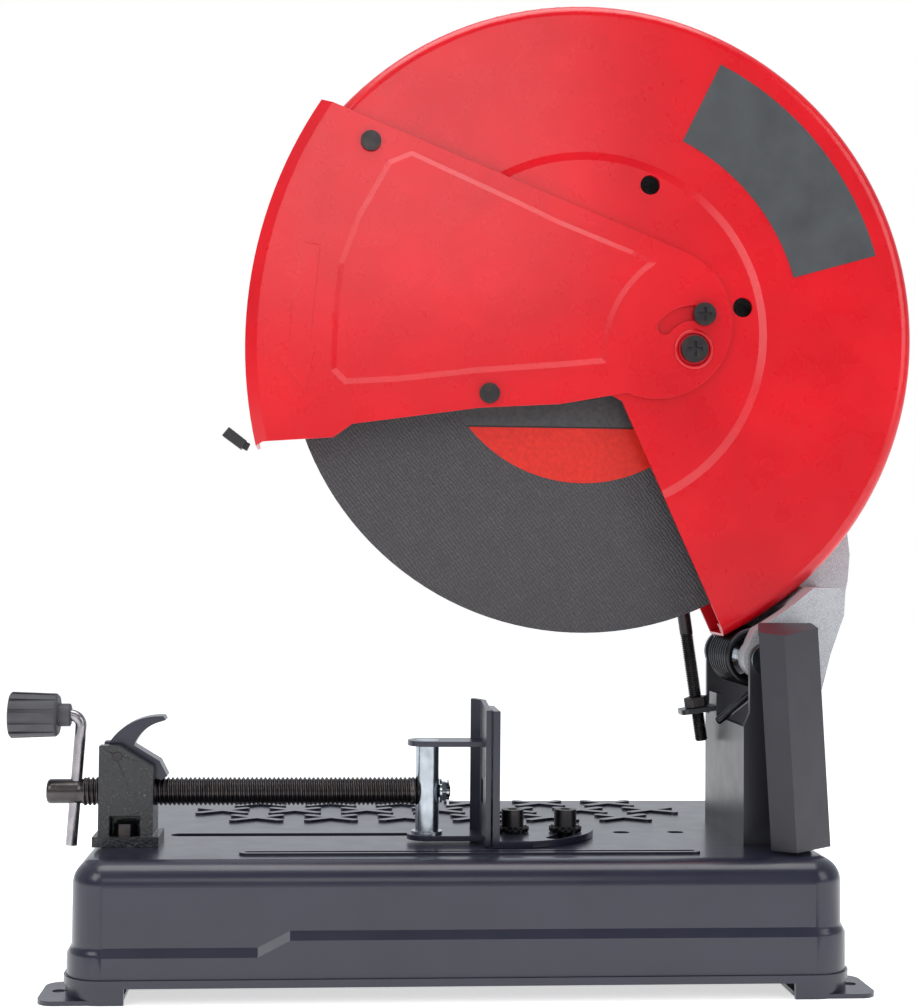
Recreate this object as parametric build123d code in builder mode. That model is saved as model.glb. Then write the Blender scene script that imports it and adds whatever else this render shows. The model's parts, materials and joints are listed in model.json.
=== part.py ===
"""Abrasive chop saw with a 355 mm disc: base, vise, pivoting head, guards, gear train and motor.

Frame: +X runs from the operator's side to the rear pivot, +Y from the vise side to the motor side,
+Z is up. The origin is the centre of the four bench holes, on the floor.
"""

import os
from math import atan2, cos, degrees, radians, sin

from build123d import *

os.makedirs("parts", exist_ok=True)

# ---- driving dimensions, mm ----
BASE_LENGTH = 420.0
BASE_WIDTH = 254.0
BASE_TOP = 74.0
SHEET = 2.5
CORNER_RADIUS = 18.0
TOP_FILLET = 13.0
BENCH_HOLE_X = 217.0
BENCH_HOLE_Y = 106.0
BENCH_HOLE_RADIUS = 3.5

DISC_X, DISC_Z = 76.0, 371.0
DISC_RADIUS = 177.5
DISC_THICKNESS = 3.2
DISC_Y = -30.0
DISC_BORE = 12.7
FLANGE_RADIUS = 38.0

PIVOT_X, PIVOT_Z = 177.0, 180.5
PIVOT_SHAFT_RADIUS = 6.0
HUB_RADIUS = 11.5

MOTOR_X, MOTOR_Z = 118.0, 411.0
MOTOR_RADIUS = 48.0
GEAR_MODULE = 2.0
GEAR_TEETH = 46
PINION_TEETH = 12

GUARD_RADIUS = 197.0
GUARD_FRONT = -48.0
GUARD_BACK = -8.0
GUARD_SHEET = 1.6
BOSS_RADIUS = 103.0

SWING_X, SWING_Z = 139.0, 362.0
SWING_RADIUS = 264.0
SWING_FRONT = -52.0
SWING_BACK = -9.0
SWING_SHEET = 1.6
SLOT_RADIUS = 21.7
STOP_SCREW_ANGLE = 74.0
SLOT_END_ANGLE = 143.0

VISE_Y, VISE_Z = -57.5, 103.1
SCREW_RADIUS = 8.0
JAW_PIN_X = -16.7
JAW_FACE_X = 18.0
FENCE_FACE_X = 19.0
FENCE_NEAR, FENCE_FAR = -83.0, -43.0
FENCE_BOLT_Y = -47.0
FENCE_BOLTS_X = (34.0, 65.0)
BLOCK_NEAR, BLOCK_FAR = -73.5, -41.5
BLOCK_BOLTS = [(-187, BLOCK_NEAR + 5), (-187, BLOCK_FAR - 5)]
POST_BOLTS = [(x, y) for x in (177.0, 195.0) for y in (-60.0, 6.0)]
FIT = 0.05

pieces = {}


def side(y):
    """Plane across the saw at y, with local x, y along X, Z and its normal towards the operator's left."""
    return Plane(origin=(0, y, 0), x_dir=(1, 0, 0), z_dir=(0, -1, 0))


def rod(x, z, radius, near, far, mode=Mode.ADD):
    """Cylinder along Y, from near to far."""
    with BuildSketch(side(far)) as outline:
        with Locations((x, z)):
            Circle(radius)
    extrude(outline.sketch, amount=far - near, mode=mode)


def post(x, y, radius, low, high, mode=Mode.ADD):
    """Cylinder along Z, from low to high."""
    with Locations((x, y, low)):
        Cylinder(radius, high - low, align=(Align.CENTER, Align.CENTER, Align.MIN), mode=mode)


def bar(y, z, radius, left, right, mode=Mode.ADD):
    """Cylinder along X, from left to right."""
    with Locations(Location((left, y, z), (0, 90, 0))):
        Cylinder(radius, right - left, align=(Align.CENTER, Align.CENTER, Align.MIN), mode=mode)


def block(xs, ys, zs, mode=Mode.ADD):
    """Box between the three pairs of limits."""
    with Locations((sum(xs) / 2, sum(ys) / 2, sum(zs) / 2)):
        Box(xs[1] - xs[0], ys[1] - ys[0], zs[1] - zs[0], mode=mode)


def slab(points, near, far, mode=Mode.ADD):
    """Straight-edged plate across the saw: an outline in X and Z, from near to far in Y."""
    with BuildSketch(side(far)) as outline:
        with BuildLine():
            Polyline(*points, close=True)
        make_face()
    extrude(outline.sketch, amount=far - near, mode=mode)


def hexagon(plane, across_flats, height, mode=Mode.ADD):
    """Hexagonal prism that stands on a plane."""
    with BuildSketch(plane) as outline:
        RegularPolygon(across_flats / 2, 6, major_radius=False)
    extrude(outline.sketch, amount=height, mode=mode)


def polar(x, z, radius, angle):
    """Point at a radius and an angle in degrees about x, z, in the XZ plane."""
    return (x + radius * cos(radians(angle)), z + radius * sin(radians(angle)))


# ---- base: a pressed steel pan on four corner legs ----
LOWER_BAND = 2.5
BAND_LOW = 10.5
BAND_SLOPE = 4.8
BAND_STEPS = ((-110.0, 29.4), (-93.0, 38.2))
LEG_REACH = 30.0
SLOT_X = (-165.0, 54.0)
SLOT_WIDTH = 11.0


def base_outline(grow):
    """Rounded rectangle of the base walls, grown by an amount."""
    RectangleRounded(BASE_LENGTH + 2 * grow, BASE_WIDTH + 2 * grow, CORNER_RADIUS + grow)


def base_ring(plane, grow, thickness, height, mode=Mode.ADD):
    """Rounded rectangular ring that follows the walls of the base."""
    with BuildSketch(plane) as ring:
        base_outline(grow)
        with BuildSketch(mode=Mode.SUBTRACT):
            base_outline(grow - thickness)
    extrude(ring.sketch, amount=height, mode=mode)


def band_body(top):
    """Lower band as a full block, with its upper edge sloped back to the wall."""
    with BuildSketch(Plane.XY.offset(BAND_LOW)) as full:
        base_outline(LOWER_BAND)
    extrude(full.sketch, amount=top - BAND_SLOPE - BAND_LOW)
    with BuildSketch(Plane.XY.offset(top - BAND_SLOPE)) as below:
        base_outline(LOWER_BAND)
    with BuildSketch(Plane.XY.offset(top)) as above:
        base_outline(0)
    loft([below.sketch, above.sketch])


with BuildPart() as band_left:
    band_body(BAND_STEPS[0][1])
    block((BAND_STEPS[0][0], 300), (-200, 200), (0, 60), Mode.SUBTRACT)

with BuildPart() as band_right:
    band_body(BAND_STEPS[1][1])
    block((-300, BAND_STEPS[1][0]), (-200, 200), (0, 60), Mode.SUBTRACT)

with BuildPart() as band_ramp:
    ramp_ends = []
    for x, top in BAND_STEPS:
        with BuildSketch(Plane(origin=(x, 0, 0), x_dir=(0, 1, 0), z_dir=(1, 0, 0))) as ramp_end:
            with BuildLine():
                half = BASE_WIDTH / 2
                Polyline(
                    (-half - LOWER_BAND, BAND_LOW), (half + LOWER_BAND, BAND_LOW),
                    (half + LOWER_BAND, top - BAND_SLOPE), (half, top), (-half, top),
                    (-half - LOWER_BAND, top - BAND_SLOPE), close=True,
                )
            make_face()
        ramp_ends.append(ramp_end.sketch)
    loft(ramp_ends)

with BuildPart() as base_cavity:
    with BuildSketch(Plane.XY.offset(-1)):
        base_outline(-SHEET)
    extrude(amount=BASE_TOP - SHEET + 1)
    fillet(base_cavity.faces().sort_by(Axis.Z)[-1].edges(), radius=TOP_FILLET - SHEET)

with BuildPart() as base_pan:
    with BuildSketch(Plane.XY.offset(BAND_LOW)):
        base_outline(0)
    extrude(amount=BASE_TOP - BAND_LOW)
    fillet(base_pan.faces().sort_by(Axis.Z)[-1].edges(), radius=TOP_FILLET)
    add(band_left.part)
    add(band_right.part)
    add(band_ramp.part)
    # rolled lower edge, and the legs at the corners
    base_ring(Plane.XY.offset(BAND_LOW - 1.6), LOWER_BAND + 1.4, LOWER_BAND + 1.4, 4.2)
    base_ring(Plane.XY, LOWER_BAND + 0.4, LOWER_BAND + 0.4, BAND_LOW)
    block((-BASE_LENGTH / 2 + LEG_REACH, BASE_LENGTH / 2 - LEG_REACH), (-200, 200), (-1, BAND_LOW - 1.6),
          Mode.SUBTRACT)
    block((-300, 300), (-BASE_WIDTH / 2 + LEG_REACH, BASE_WIDTH / 2 - LEG_REACH), (-1, BAND_LOW - 1.6),
          Mode.SUBTRACT)
    add(base_cavity.part, mode=Mode.SUBTRACT)
    # flat feet turned out at the corners, with the bench holes
    with BuildSketch(Plane.XY) as feet:
        with Locations(*[(i * 203.5, j * 107) for i in (-1, 1) for j in (-1, 1)]):
            RectangleRounded(45, 44, 9)
        with Locations(*[(i * BENCH_HOLE_X, j * BENCH_HOLE_Y) for i in (-1, 1) for j in (-1, 1)]):
            Circle(BENCH_HOLE_RADIUS, mode=Mode.SUBTRACT)
    extrude(feet.sketch, amount=2.5)
    # disc slot, spare fence holes and the holes under the bolts
    with BuildSketch(Plane.XY.offset(BASE_TOP - SHEET - 1)) as slot:
        with Locations((sum(SLOT_X) / 2, DISC_Y)):
            SlotOverall(SLOT_X[1] - SLOT_X[0], SLOT_WIDTH)
        with Locations((102, -24), (135, -24)):
            SlotOverall(10, 8)
        with Locations(*POST_BOLTS, *BLOCK_BOLTS, *[(x, FENCE_BOLT_Y) for x in FENCE_BOLTS_X]):
            Circle(4.2)
    extrude(slot.sketch, amount=SHEET + 4, mode=Mode.SUBTRACT)
    # pressed bead along the near edge
    with BuildSketch(Plane.XY.offset(BASE_TOP - 0.3)) as bead:
        with Locations((6, -98)):
            SlotOverall(256, 10)
            SlotOverall(250, 4, mode=Mode.SUBTRACT)
    extrude(bead.sketch, amount=1.5)
    # anti-slip ribs behind the slot: staggered rows of raised crosses
    with BuildSketch(Plane.XY.offset(BASE_TOP - 0.3)) as crosses:
        for row in range(3):
            for turn in (36, -36):
                with Locations(*[
                    Location((-117.5 - 23 * (row % 2) + 46 * i, 31 + 32 * row, 0), (0, 0, turn))
                    for i in range(6 + row % 2)
                ]):
                    SlotOverall(40, 6)
    extrude(crosses.sketch, amount=1.7)
pieces["base_pan"] = base_pan

# ---- rear post: a folded channel that carries the pivot ----
POST_FACE_X = 164.0
POST_BACK_X = 204.0
POST_NEAR, POST_FAR = -76.0, 26.0
POST_SHEET = 4.0
WEB_TOP = 142.0
NEAR_WALL_TOP = 150.0
STOP_BOLT_RADIUS = 4.0
STOP_BOLT_TILT = 8.4
stop_axis = Plane(
    origin=(154.1, 5.0, 145.2), x_dir=(cos(radians(STOP_BOLT_TILT)), 0, sin(radians(STOP_BOLT_TILT))),
    z_dir=(-sin(radians(STOP_BOLT_TILT)), 0, cos(radians(STOP_BOLT_TILT))),
)

with BuildPart() as rear_post:
    block((POST_FACE_X, POST_BACK_X), (POST_NEAR, POST_FAR), (BASE_TOP, BASE_TOP + POST_SHEET))
    block((POST_FACE_X, POST_FACE_X + POST_SHEET), (POST_NEAR, POST_FAR), (BASE_TOP, WEB_TOP))
    block((POST_FACE_X, POST_FACE_X + POST_SHEET), (-5, 15), (WEB_TOP - 8, WEB_TOP + 14))
    slab(
        [(POST_FACE_X, BASE_TOP), (POST_BACK_X, BASE_TOP), (POST_BACK_X, NEAR_WALL_TOP),
         (PIVOT_X + 9.5, PIVOT_Z), (PIVOT_X - 9.5, PIVOT_Z), (PIVOT_X - 9.5, NEAR_WALL_TOP),
         (POST_FACE_X, WEB_TOP)],
        POST_NEAR, POST_NEAR + POST_SHEET,
    )
    rod(PIVOT_X, PIVOT_Z, 9.5, POST_NEAR, POST_NEAR + POST_SHEET)
    slab(
        [(POST_FACE_X, BASE_TOP), (POST_BACK_X, BASE_TOP), (PIVOT_X + 15, PIVOT_Z), (PIVOT_X - 13, PIVOT_Z),
         (POST_FACE_X, WEB_TOP + 25)],
        POST_FAR - POST_SHEET, POST_FAR,
    )
    rod(PIVOT_X, PIVOT_Z, 14, POST_FAR - POST_SHEET, POST_FAR)
    rod(PIVOT_X, PIVOT_Z, PIVOT_SHAFT_RADIUS, POST_NEAR - 1, POST_FAR + 1, Mode.SUBTRACT)
    # lug for the depth stop, square to the tilted bolt
    with BuildSketch(stop_axis.offset(-1.5)) as lug:
        with Locations((6, 0)):
            RectangleRounded(34, 18, 4)
    extrude(lug.sketch, amount=3)
    with BuildSketch(stop_axis.offset(-20)) as lug_hole:
        Circle(STOP_BOLT_RADIUS + FIT)
    extrude(lug_hole.sketch, amount=40, mode=Mode.SUBTRACT)
    block((POST_FACE_X + POST_SHEET, 200), (-6, 16), (120, WEB_TOP + 30), Mode.SUBTRACT)
    with Locations(*[(x, y, BASE_TOP) for x, y in POST_BOLTS]):
        Cylinder(4.2, 20, mode=Mode.SUBTRACT)
pieces["rear_post"] = rear_post

with BuildPart() as post_bolts:
    for x, y in POST_BOLTS:
        post(x, y, 4, BASE_TOP - SHEET - 8, BASE_TOP + POST_SHEET)
        post(x, y, 8, BASE_TOP + POST_SHEET, BASE_TOP + POST_SHEET + 1.5)
        hexagon(Plane(origin=(x, y, BASE_TOP + POST_SHEET + 1.5)), 13, 5.3)
pieces["post_bolts"] = post_bolts

# ---- cover over the near end of the pivot: two leaning facets and a sloped roof ----
COVER_LOW, COVER_HIGH = 76.0, 196.0
COVER_LEAN = 7.5
ROOF_TILT = 9.2


def cover_plan(height, shift):
    """Cross-section of the folded sheet at a height, moved back by shift."""
    with BuildSketch(Plane.XY.offset(height)) as plan:
        with BuildLine():
            Polyline(
                (165.5 + shift, -104), (177.5 + shift, -113.5), (203 + shift, -91), (203 + shift, -76),
                (201 + shift, -76), (201 + shift, -90.1), (177.5 + shift, -110.8), (166.8 + shift, -102.4),
                close=True,
            )
        make_face()
    return plan.sketch


with BuildPart() as post_cover:
    loft([cover_plan(COVER_LOW, COVER_LEAN), cover_plan(COVER_HIGH + 8, -0.5)])
    roof_plane = Plane(
        origin=(184, -112, COVER_HIGH), x_dir=(1, 0, 0),
        z_dir=(0, -sin(radians(ROOF_TILT)), cos(radians(ROOF_TILT))),
    )
    with BuildSketch(roof_plane) as above_roof:
        with Locations((0, 20)):
            Rectangle(80, 80)
    extrude(above_roof.sketch, amount=20, mode=Mode.SUBTRACT)
    with BuildSketch(roof_plane) as roof:
        with BuildLine():
            Polyline((-18.7, 8.4), (-6.6, -1.2), (19.2, 21.4), (19.2, 36), (-12, 36), close=True)
        make_face()
    extrude(roof.sketch, amount=-2)
    # flange folded in against the post
    slab([(192, 90), (209, 90), (205.4, 148), (192, 148)], -78, -76)
pieces["post_cover"] = post_cover

# ---- pivot: shaft, nuts, bushes and the torsion spring ----
LUG_NEAR = (-68.0, -54.0)
LUG_FAR = (6.0, 20.0)
SPRING_WIRE = 2.4
SPRING_RADIUS = 15.4
SPRING_PITCH = 5.9
SPRING_TURNS = 8.5
SPRING_START = -50.0

with BuildPart() as pivot_shaft:
    rod(PIVOT_X, PIVOT_Z, PIVOT_SHAFT_RADIUS, POST_NEAR - 3.5, POST_FAR + 12)
    rod(PIVOT_X, PIVOT_Z, 9, POST_NEAR - 3.5, POST_NEAR)
pieces["pivot_shaft"] = pivot_shaft

with BuildPart() as pivot_nut:
    hexagon(Plane(origin=(PIVOT_X, POST_FAR + 1.5, PIVOT_Z), x_dir=(1, 0, 0), z_dir=(0, 1, 0)), 19, 9)
    rod(PIVOT_X, PIVOT_Z, 12, POST_FAR, POST_FAR + 1.5)
    rod(PIVOT_X, PIVOT_Z, PIVOT_SHAFT_RADIUS, POST_FAR - 1, POST_FAR + 13, Mode.SUBTRACT)
pieces["pivot_nut"] = pivot_nut

with BuildPart() as pivot_bushes:
    for near, far in (LUG_NEAR, LUG_FAR):
        rod(PIVOT_X, PIVOT_Z, 8, near, far)
        rod(PIVOT_X, PIVOT_Z, PIVOT_SHAFT_RADIUS + FIT, near, far, Mode.SUBTRACT)
pieces["pivot_bushes"] = pivot_bushes

SPRING_LEG_ANGLE = 218.7

with BuildLine() as plain_coil:
    Helix(
        SPRING_PITCH, SPRING_PITCH * SPRING_TURNS, SPRING_RADIUS, center=(PIVOT_X, SPRING_START, PIVOT_Z),
        direction=(0, 1, 0), lefthand=True,
    )
coil_start = plain_coil.line @ 0
coil_angle = degrees(atan2(coil_start.Z - PIVOT_Z, coil_start.X - PIVOT_X))
spring_coil = plain_coil.line.rotate(
    Axis((PIVOT_X, 0, PIVOT_Z), (0, 1, 0)), coil_angle - (SPRING_LEG_ANGLE + 90)
)

with BuildPart() as torsion_spring:
    with BuildSketch(Plane(origin=spring_coil @ 0, z_dir=spring_coil % 0)) as wire:
        Circle(SPRING_WIRE)
    sweep(wire.sketch, path=spring_coil)
    with BuildSketch(Plane(origin=spring_coil @ 1, z_dir=spring_coil % 1)) as far_leg:
        Circle(SPRING_WIRE)
    extrude(far_leg.sketch, amount=4)
pieces["torsion_spring"] = torsion_spring

# ---- depth stop: a long screw and its lock nut on the lug ----
with BuildPart() as stop_bolt:
    with BuildSketch(stop_axis.offset(-19.3)) as shank:
        Circle(STOP_BOLT_RADIUS)
    extrude(shank.sketch, amount=97.3)
    hexagon(stop_axis.offset(78), 12, 5)
pieces["stop_bolt"] = stop_bolt

with BuildPart() as stop_nut:
    hexagon(stop_axis.offset(1.7), 13, 6.3)
    with BuildSketch(stop_axis) as nut_bore:
        Circle(STOP_BOLT_RADIUS + FIT)
    extrude(nut_bore.sketch, amount=10, mode=Mode.SUBTRACT)
pieces["stop_nut"] = stop_nut

# ---- head casting: gear housing, arm and the forked pivot foot ----
HOUSING_NEAR, HOUSING_FAR = -7.6, 40.0
WALL = 5.0
GEAR_POCKET = (0.0, HOUSING_FAR)
SPINDLE_RADIUS = 7.5
BEARING_RADIUS = 16.0


def gear_case(near, far, shrink=0.0, mode=Mode.ADD):
    """Two circles round the spindle and the motor shaft, joined by their common tangents."""
    with BuildSketch(side(far)) as outline:
        with Locations((DISC_X, DISC_Z)):
            Circle(56 - shrink)
        with Locations((MOTOR_X, MOTOR_Z)):
            Circle(MOTOR_RADIUS + 2 - shrink)
        make_hull()
    extrude(outline.sketch, amount=far - near, mode=mode)


with BuildPart() as head_casting:
    gear_case(HOUSING_NEAR, HOUSING_FAR)
    # arm from the gear case down to the far lug
    slab(
        [(118, 372), (168, 400), (205, 330), (238, 270), (244.8, 258), (246.7, 242), (245.5, 226), (242, 210),
         (232.5, 179.5), (228.5, 163), (203, 160), (PIVOT_X, PIVOT_Z - HUB_RADIUS), (166.5, 184), (170, 200),
         (179.5, 213), (191.5, 234.6), (160, 257.8), (140, 300), (100, 330)],
        HOUSING_NEAR, LUG_FAR[1],
    )
    # the foot spreads towards the vise side, behind the spring and below the guard
    slab(
        [(206, 222), (226, 222), (225, 206), (217, 183), (212, 163), (199, 160), (196, 172), (196, 212)],
        LUG_NEAR[0], HOUSING_NEAR,
    )
    slab(
        [(206, 222), (226, 222), (225, 206), (217, 183), (212, 163), (199, 160),
         (PIVOT_X, PIVOT_Z - HUB_RADIUS), (167, 184), (170, 192), (175, 202), (182, 208), (192, 212)],
        LUG_NEAR[0], LUG_NEAR[1],
    )
    for near, far in (LUG_NEAR, LUG_FAR):
        rod(PIVOT_X, PIVOT_Z, HUB_RADIUS, near, far)
        rod(PIVOT_X, PIVOT_Z, 8, near - 1, far + 1, Mode.SUBTRACT)
    rod(PIVOT_X, PIVOT_Z, 18.6, LUG_NEAR[1], LUG_FAR[0], Mode.SUBTRACT)
    rod(DISC_X, DISC_Z, GUARD_RADIUS + 1.5, LUG_NEAR[0] - 1, GUARD_BACK + 0.5, Mode.SUBTRACT)
    gear_case(GEAR_POCKET[0], GEAR_POCKET[1] + 1, WALL, Mode.SUBTRACT)
    # bearing seat and screw bosses
    rod(DISC_X, DISC_Z, BEARING_RADIUS + 5, HOUSING_NEAR, 9)
    rod(DISC_X, DISC_Z, BEARING_RADIUS, HOUSING_NEAR + 2, 10, Mode.SUBTRACT)
    rod(DISC_X, DISC_Z, SPINDLE_RADIUS + 2, HOUSING_NEAR - 1, 10, Mode.SUBTRACT)
    # hollows that lighten the arm
    slab([(150, 372), (166, 386), (196, 330), (212, 292), (178, 268), (158, 300)], 4, LUG_FAR[1] + 1,
         Mode.SUBTRACT)
pieces["head_casting"] = head_casting

# ---- spindle group ----
with BuildPart() as spindle:
    rod(DISC_X, DISC_Z, SPINDLE_RADIUS, -28.4, HOUSING_FAR + 12)
    rod(DISC_X, DISC_Z, 5, -38.8, HOUSING_FAR - 20, Mode.SUBTRACT)
pieces["spindle"] = spindle

with BuildPart() as inner_flange:
    rod(DISC_X, DISC_Z, FLANGE_RADIUS, -28.4, -22)
    rod(DISC_X, DISC_Z, 13, -22, -11)
    rod(DISC_X, DISC_Z, FLANGE_RADIUS - 9, -28.4, -27.2, Mode.SUBTRACT)
    rod(DISC_X, DISC_Z, DISC_BORE, -31.6, -27.2)
    rod(DISC_X, DISC_Z, SPINDLE_RADIUS, -28.4, -10, Mode.SUBTRACT)
    rod(DISC_X, DISC_Z, 5.2, -32, -28, Mode.SUBTRACT)
pieces["inner_flange"] = inner_flange

with BuildPart() as outer_flange:
    rod(DISC_X, DISC_Z, FLANGE_RADIUS, -36.6, -31.6)
    rod(DISC_X, DISC_Z, 5.2, -37, -31, Mode.SUBTRACT)
    fillet(outer_flange.faces().sort_by(Axis.Y)[0].edges().sort_by(SortBy.RADIUS)[-1], radius=2)
pieces["outer_flange"] = outer_flange

with BuildPart() as disc_bolt:
    rod(DISC_X, DISC_Z, 5, -38, HOUSING_FAR - 26)
    rod(DISC_X, DISC_Z, 12, -38.2, -36.6)
    with BuildSketch(side(-38.2)) as bolt_head:
        with Locations((DISC_X, DISC_Z)):
            RegularPolygon(8.5, 6, major_radius=False)
    extrude(bolt_head.sketch, amount=6.4)
pieces["disc_bolt"] = disc_bolt

with BuildPart() as abrasive_disc:
    rod(DISC_X, DISC_Z, DISC_RADIUS, DISC_Y - DISC_THICKNESS / 2, DISC_Y + DISC_THICKNESS / 2)
    rod(DISC_X, DISC_Z, DISC_BORE + FIT, DISC_Y - 3, DISC_Y + 3, Mode.SUBTRACT)
pieces["abrasive_disc"] = abrasive_disc

with BuildPart() as disc_label:
    rod(DISC_X, DISC_Z, 88, -31.9, -31.6)
    rod(DISC_X, DISC_Z, FLANGE_RADIUS + 0.3, -33, -31, Mode.SUBTRACT)
pieces["disc_label"] = disc_label

with BuildPart() as spindle_bearings:
    for near, far in ((HOUSING_NEAR + 2, 7), (HOUSING_FAR + 1, HOUSING_FAR + 11)):
        rod(DISC_X, DISC_Z, BEARING_RADIUS, near, far)
        rod(DISC_X, DISC_Z, SPINDLE_RADIUS + FIT, near - 1, far + 1, Mode.SUBTRACT)
pieces["spindle_bearings"] = spindle_bearings


def gear(x, z, teeth, near, far, first_tooth):
    """Spur gear with straight-flanked teeth and generous backlash."""
    pitch_radius = GEAR_MODULE * teeth / 2
    step = 360 / teeth
    shape = ((pitch_radius - 2.4, 0.27), (pitch_radius, 0.19), (pitch_radius + 1.5, 0.09))
    points = []
    for tooth in range(teeth):
        centre = first_tooth + tooth * step
        for radius, half in shape:
            points.append(polar(x, z, radius, centre - half * step))
        for radius, half in reversed(shape):
            points.append(polar(x, z, radius, centre + half * step))
    slab(points, near, far)


mesh_angle = degrees(atan2(MOTOR_Z - DISC_Z, MOTOR_X - DISC_X))

with BuildPart() as spindle_gear:
    gear(DISC_X, DISC_Z, GEAR_TEETH, 12, 26, mesh_angle)
    rod(DISC_X, DISC_Z, 14, 8, 30)
    rod(DISC_X, DISC_Z, SPINDLE_RADIUS, 7, 31, Mode.SUBTRACT)
pieces["spindle_gear"] = spindle_gear

# ---- armature: shaft, pinion, laminated core, windings, commutator and fan ----
with BuildPart() as armature_shaft:
    rod(MOTOR_X, MOTOR_Z, 5, 4, 158)
    gear(MOTOR_X, MOTOR_Z, PINION_TEETH, 10, 28, mesh_angle + 180 + 180 / PINION_TEETH)
pieces["armature_shaft"] = armature_shaft

with BuildPart() as armature_core:
    rod(MOTOR_X, MOTOR_Z, 24, 78, 120)
    rod(MOTOR_X, MOTOR_Z, 18, 70, 128)
    rod(MOTOR_X, MOTOR_Z, 13, 128, 146)
    rod(MOTOR_X, MOTOR_Z, 5, 60, 150, Mode.SUBTRACT)
pieces["armature_core"] = armature_core

with BuildPart() as cooling_fan:
    rod(MOTOR_X, MOTOR_Z, 10, 56, 68)
    rod(MOTOR_X, MOTOR_Z, 38, 66, 68)
    with Locations(*[
        Location((MOTOR_X + 24 * cos(radians(a)), 61, MOTOR_Z + 24 * sin(radians(a))), (0, -a, 0))
        for a in range(0, 360, 40)
    ]):
        Box(28, 11, 1.6)
    rod(MOTOR_X, MOTOR_Z, 5, 50, 70, Mode.SUBTRACT)
pieces["cooling_fan"] = cooling_fan

with BuildPart() as motor_bearings:
    for near, far in ((43, 52), (150, 158)):
        rod(MOTOR_X, MOTOR_Z, 13, near, far)
        rod(MOTOR_X, MOTOR_Z, 5 + FIT, near - 1, far + 1, Mode.SUBTRACT)
pieces["motor_bearings"] = motor_bearings

with BuildPart() as stator:
    rod(MOTOR_X, MOTOR_Z, 44, 76, 122)
    rod(MOTOR_X, MOTOR_Z, 26, 70, 130, Mode.SUBTRACT)
pieces["stator"] = stator

# ---- motor housing with the gear case lid ----
MOTOR_SHELL = 3.5
CAP_START, MOTOR_END = 132.0, 172.0
HANDLE_MID = 80.0
HANDLE_HALF = 15.0
HANDLE_TILT = 35.0

with BuildPart() as motor_housing:
    gear_case(HOUSING_FAR, HOUSING_FAR + 5)
    rod(MOTOR_X, MOTOR_Z, MOTOR_RADIUS, HOUSING_FAR, CAP_START)
    rod(DISC_X, DISC_Z, BEARING_RADIUS + 4, HOUSING_FAR, HOUSING_FAR + 16)
    rod(MOTOR_X, MOTOR_Z, MOTOR_RADIUS - MOTOR_SHELL, 54, CAP_START + 1, Mode.SUBTRACT)
    rod(MOTOR_X, MOTOR_Z, 13, 43, 55, Mode.SUBTRACT)
    rod(MOTOR_X, MOTOR_Z, 14, HOUSING_FAR - 1, 43, Mode.SUBTRACT)
    rod(DISC_X, DISC_Z, BEARING_RADIUS, HOUSING_FAR - 1, HOUSING_FAR + 12.5, Mode.SUBTRACT)
    with Locations(*[
        Location((MOTOR_X + 46 * cos(radians(a)), 62, MOTOR_Z + 46 * sin(radians(a))), (0, -a, 0))
        for a in range(-60, 61, 20)
    ]):
        Box(12, 12, 6, mode=Mode.SUBTRACT)
pieces["motor_housing"] = motor_housing

with BuildPart() as motor_cap:
    rod(MOTOR_X, MOTOR_Z, MOTOR_RADIUS, CAP_START, MOTOR_END)
    fillet(motor_cap.faces().sort_by(Axis.Y)[-1].edges(), radius=10)
    rod(MOTOR_X, MOTOR_Z, MOTOR_RADIUS - MOTOR_SHELL, CAP_START - 1, 160, Mode.SUBTRACT)
    with Locations(*[(MOTOR_X + dx, MOTOR_END - 4, MOTOR_Z) for dx in range(-24, 25, 12)]):
        Box(5, 24, 44, mode=Mode.SUBTRACT)
    rod(MOTOR_X, MOTOR_Z, 17, 148, 164)
    rod(MOTOR_X, MOTOR_Z, 13, 147, 158.2, Mode.SUBTRACT)
    bar(140, MOTOR_Z, 8, MOTOR_X - MOTOR_RADIUS - 5, MOTOR_X + MOTOR_RADIUS + 5)
    bar(140, MOTOR_Z, 6.5, MOTOR_X - MOTOR_RADIUS - 6, MOTOR_X + MOTOR_RADIUS + 6, Mode.SUBTRACT)
    rod(MOTOR_X, MOTOR_Z, 36, CAP_START - 1, 148, Mode.SUBTRACT)
pieces["motor_cap"] = motor_cap

with BuildPart() as brush_caps:
    for way in (-1, 1):
        limits = sorted((MOTOR_X + way * (MOTOR_RADIUS - 6), MOTOR_X + way * (MOTOR_RADIUS + 4.5)))
        bar(140, MOTOR_Z, 6.5 - FIT, *limits)
        slot_limits = sorted((MOTOR_X + way * (MOTOR_RADIUS + 3), MOTOR_X + way * (MOTOR_RADIUS + 5)))
        block(slot_limits, (134, 146), (MOTOR_Z - 0.8, MOTOR_Z + 0.8), Mode.SUBTRACT)
pieces["brush_caps"] = brush_caps

# ---- D-handle in two halves, with the trigger inside its grip ----
handle_plane = Plane(
    origin=(35, HANDLE_MID, 505), x_dir=(cos(radians(HANDLE_TILT)), 0, sin(radians(HANDLE_TILT))),
    z_dir=(0, -1, 0),
)


def handle_half(way):
    """One half of the D-handle, on one side of its middle plane, with a hollow for the trigger."""
    with BuildSketch(handle_plane) as ring:
        RectangleRounded(150, 88, 26)
        with Locations((0, -3)):
            RectangleRounded(98, 40, 16, mode=Mode.SUBTRACT)
        with BuildLine():
            Polyline((-18, -40), (50, -40), (66, -78), (40, -92), (4, -74), close=True)
        make_face()
    extrude(ring.sketch, amount=way * HANDLE_HALF)
    chamfer(faces().sort_by(Axis.Y)[0 if way > 0 else -1].edges(), length=4)
    with BuildSketch(handle_plane) as pocket:
        with Locations((0, 28)):
            Rectangle(44, 22)
    extrude(pocket.sketch, amount=way * 9, mode=Mode.SUBTRACT)
    rod(MOTOR_X, MOTOR_Z, MOTOR_RADIUS, HANDLE_MID - 40, HANDLE_MID + 40, Mode.SUBTRACT)


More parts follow.
